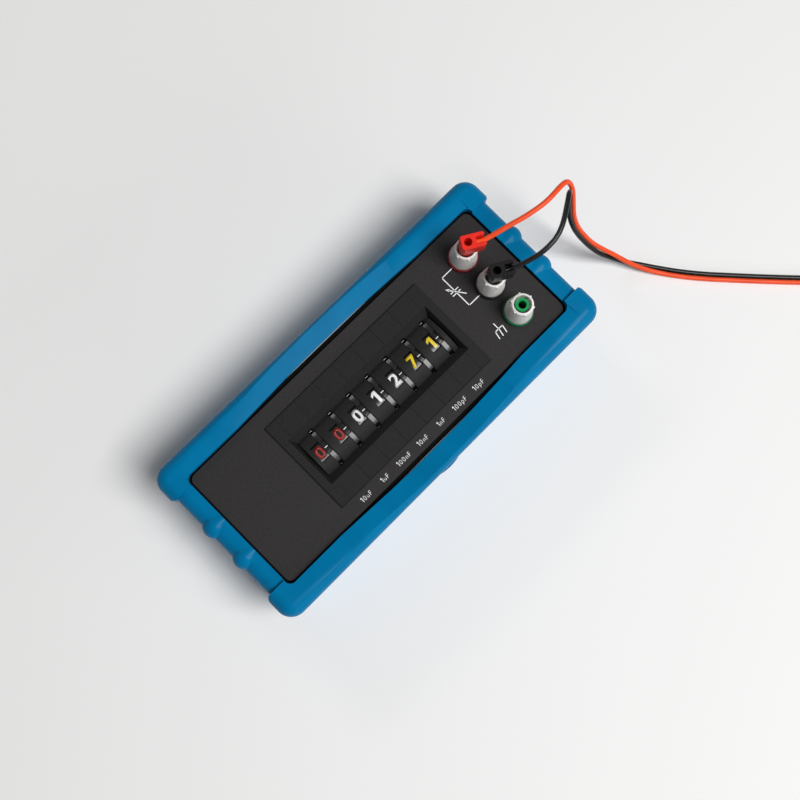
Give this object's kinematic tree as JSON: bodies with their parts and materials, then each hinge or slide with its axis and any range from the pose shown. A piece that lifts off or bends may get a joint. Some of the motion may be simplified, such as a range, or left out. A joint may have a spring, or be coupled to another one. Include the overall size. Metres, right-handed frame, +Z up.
{
  "type": "capacitance decade box",
  "caption": "Flat instrument box in a blue rubber boot: a grey panel with a bank of thumbwheel digit switches and screw-clamp binding posts sets a capacitance for a test lead.",
  "frame": {"origin": "on the table under the middle of the rubber boot", "axes": "+X along the box from its bare end to the binding posts, +Y up the panel as it is read, +Z up from the table"},
  "size_m": [0.3655, 0.3024, 0.0812],
  "materials": {
    "boot_rubber": "satin moulded thermoplastic rubber",
    "case_plastic": "fine textured black",
    "panel_paint": "fine matte dark grey with white print",
    "switch_black": "fine matte moulded black",
    "wheel_black": "glossy black with printed digits",
    "wiper_spring": "bright spring strip",
    "wafer_board": "brown laminate",
    "screw_steel": "zinc plated",
    "post_red": "moulded red",
    "post_black": "moulded black",
    "post_green": "moulded green",
    "cap_grey": "pale grey moulded",
    "washer_nickel": "nickel plated",
    "stud_brass": "turned brass",
    "tag_tin": "tinned",
    "board_green": "solder resist",
    "film_blue": "moulded box",
    "capacitor_brown": "dipped lacquer",
    "wire_white": "insulated wire",
    "lead_red": "soft lead insulation",
    "lead_black": "soft lead insulation",
    "tie_black": "soft strap",
    "pin_nickel": "nickel plated spring pin"
  },
  "bodies": {
    "box": {"protective_boot": "boot_rubber", "case_tub": "case_plastic", "front_panel": "panel_paint", "panel_standoffs": "screw_steel", "case_screws": "screw_steel", "left_cheek": "switch_black", "right_cheek": "switch_black", "switch_housing_1": "switch_black", "switch_housing_2": "switch_black", "switch_housing_3": "switch_black", "switch_housing_4": "switch_black", "switch_housing_5": "switch_black", "switch_housing_6": "switch_black", "switch_housing_7": "switch_black", "switch_wafers": "wafer_board", "tie_rods": "screw_steel", "red_post_base": "post_red", "red_post_sleeve": "post_red", "black_post_base": "post_black", "black_post_sleeve": "post_black", "green_post_base": "post_green", "green_post_sleeve": "post_green", "post_studs": "stud_brass", "post_bushes": "post_black", "solder_tags": "tag_tin", "post_nuts": "stud_brass", "capacitor_board": "board_green", "board_screws": "screw_steel", "film_capacitors": "film_blue", "small_capacitors": "capacitor_brown", "hookup_wires": "wire_white", "red_plug": "post_red", "black_plug": "post_black", "plug_pins": "pin_nickel", "red_lead": "lead_red", "black_lead": "lead_black", "twin_lead": "lead_black", "lead_coil": "lead_black", "coil_tie": "tie_black", "end_block": "post_black"},
    "wheel_1": {"thumbwheel_1": "wheel_black", "wiper_1": "wiper_spring"},
    "wheel_2": {"thumbwheel_2": "wheel_black", "wiper_2": "wiper_spring"},
    "wheel_3": {"thumbwheel_3": "wheel_black", "wiper_3": "wiper_spring"},
    "wheel_4": {"thumbwheel_4": "wheel_black", "wiper_4": "wiper_spring"},
    "wheel_5": {"thumbwheel_5": "wheel_black", "wiper_5": "wiper_spring"},
    "wheel_6": {"thumbwheel_6": "wheel_black", "wiper_6": "wiper_spring"},
    "wheel_7": {"thumbwheel_7": "wheel_black", "wiper_7": "wiper_spring"},
    "red_clamp_washer": {"red_post_washer": "washer_nickel"},
    "red_clamp_cap": {"red_post_cap": "cap_grey"},
    "black_clamp_washer": {"black_post_washer": "washer_nickel"},
    "black_clamp_cap": {"black_post_cap": "cap_grey"},
    "green_clamp_washer": {"green_post_washer": "washer_nickel"},
    "green_clamp_cap": {"green_post_cap": "cap_grey"}
  },
  "joints": [
    {"name": "wheel_1_turn", "type": "hinge", "parent": "box", "child": "wheel_1", "pos_m": [-0.0397, 0, 0.0293], "axis": [1, 0, 0], "continuous": true},
    {"name": "wheel_2_turn", "type": "hinge", "parent": "box", "child": "wheel_2", "pos_m": [-0.027, 0, 0.0293], "axis": [1, 0, 0], "continuous": true},
    {"name": "wheel_3_turn", "type": "hinge", "parent": "box", "child": "wheel_3", "pos_m": [-0.0143, 0, 0.0293], "axis": [1, 0, 0], "continuous": true},
    {"name": "wheel_4_turn", "type": "hinge", "parent": "box", "child": "wheel_4", "pos_m": [-0.0016, 0, 0.0293], "axis": [1, 0, 0], "continuous": true},
    {"name": "wheel_5_turn", "type": "hinge", "parent": "box", "child": "wheel_5", "pos_m": [0.0111, 0, 0.0293], "axis": [1, 0, 0], "continuous": true},
    {"name": "wheel_6_turn", "type": "hinge", "parent": "box", "child": "wheel_6", "pos_m": [0.0238, 0, 0.0293], "axis": [1, 0, 0], "continuous": true},
    {"name": "wheel_7_turn", "type": "hinge", "parent": "box", "child": "wheel_7", "pos_m": [0.0365, 0, 0.0293], "axis": [1, 0, 0], "continuous": true},
    {"name": "red_clamp_lift", "type": "slide", "parent": "box", "child": "red_clamp_washer", "axis": [0, 0, 1], "range_m": [0, 0.002]},
    {"name": "red_clamp_turn", "type": "hinge", "parent": "red_clamp_washer", "child": "red_clamp_cap", "pos_m": [0.0762, 0.01905, 0.06], "axis": [0, 0, 1], "range_deg": [0, 720]},
    {"name": "black_clamp_lift", "type": "slide", "parent": "box", "child": "black_clamp_washer", "axis": [0, 0, 1], "range_m": [0, 0.002]},
    {"name": "black_clamp_turn", "type": "hinge", "parent": "black_clamp_washer", "child": "black_clamp_cap", "pos_m": [0.0762, 0, 0.06], "axis": [0, 0, 1], "range_deg": [0, 720]},
    {"name": "green_clamp_lift", "type": "slide", "parent": "box", "child": "green_clamp_washer", "axis": [0, 0, 1], "range_m": [0, 0.0045]},
    {"name": "green_clamp_turn", "type": "hinge", "parent": "green_clamp_washer", "child": "green_clamp_cap", "pos_m": [0.0762, -0.01905, 0.06], "axis": [0, 0, 1], "range_deg": [0, 1620]}
  ],
  "couplings": [
    {"joint": "red_clamp_turn", "follows": "red_clamp_lift", "rad_per_m": 6283},
    {"joint": "black_clamp_turn", "follows": "black_clamp_lift", "rad_per_m": 6283},
    {"joint": "green_clamp_turn", "follows": "green_clamp_lift", "rad_per_m": 6283}
  ]
}
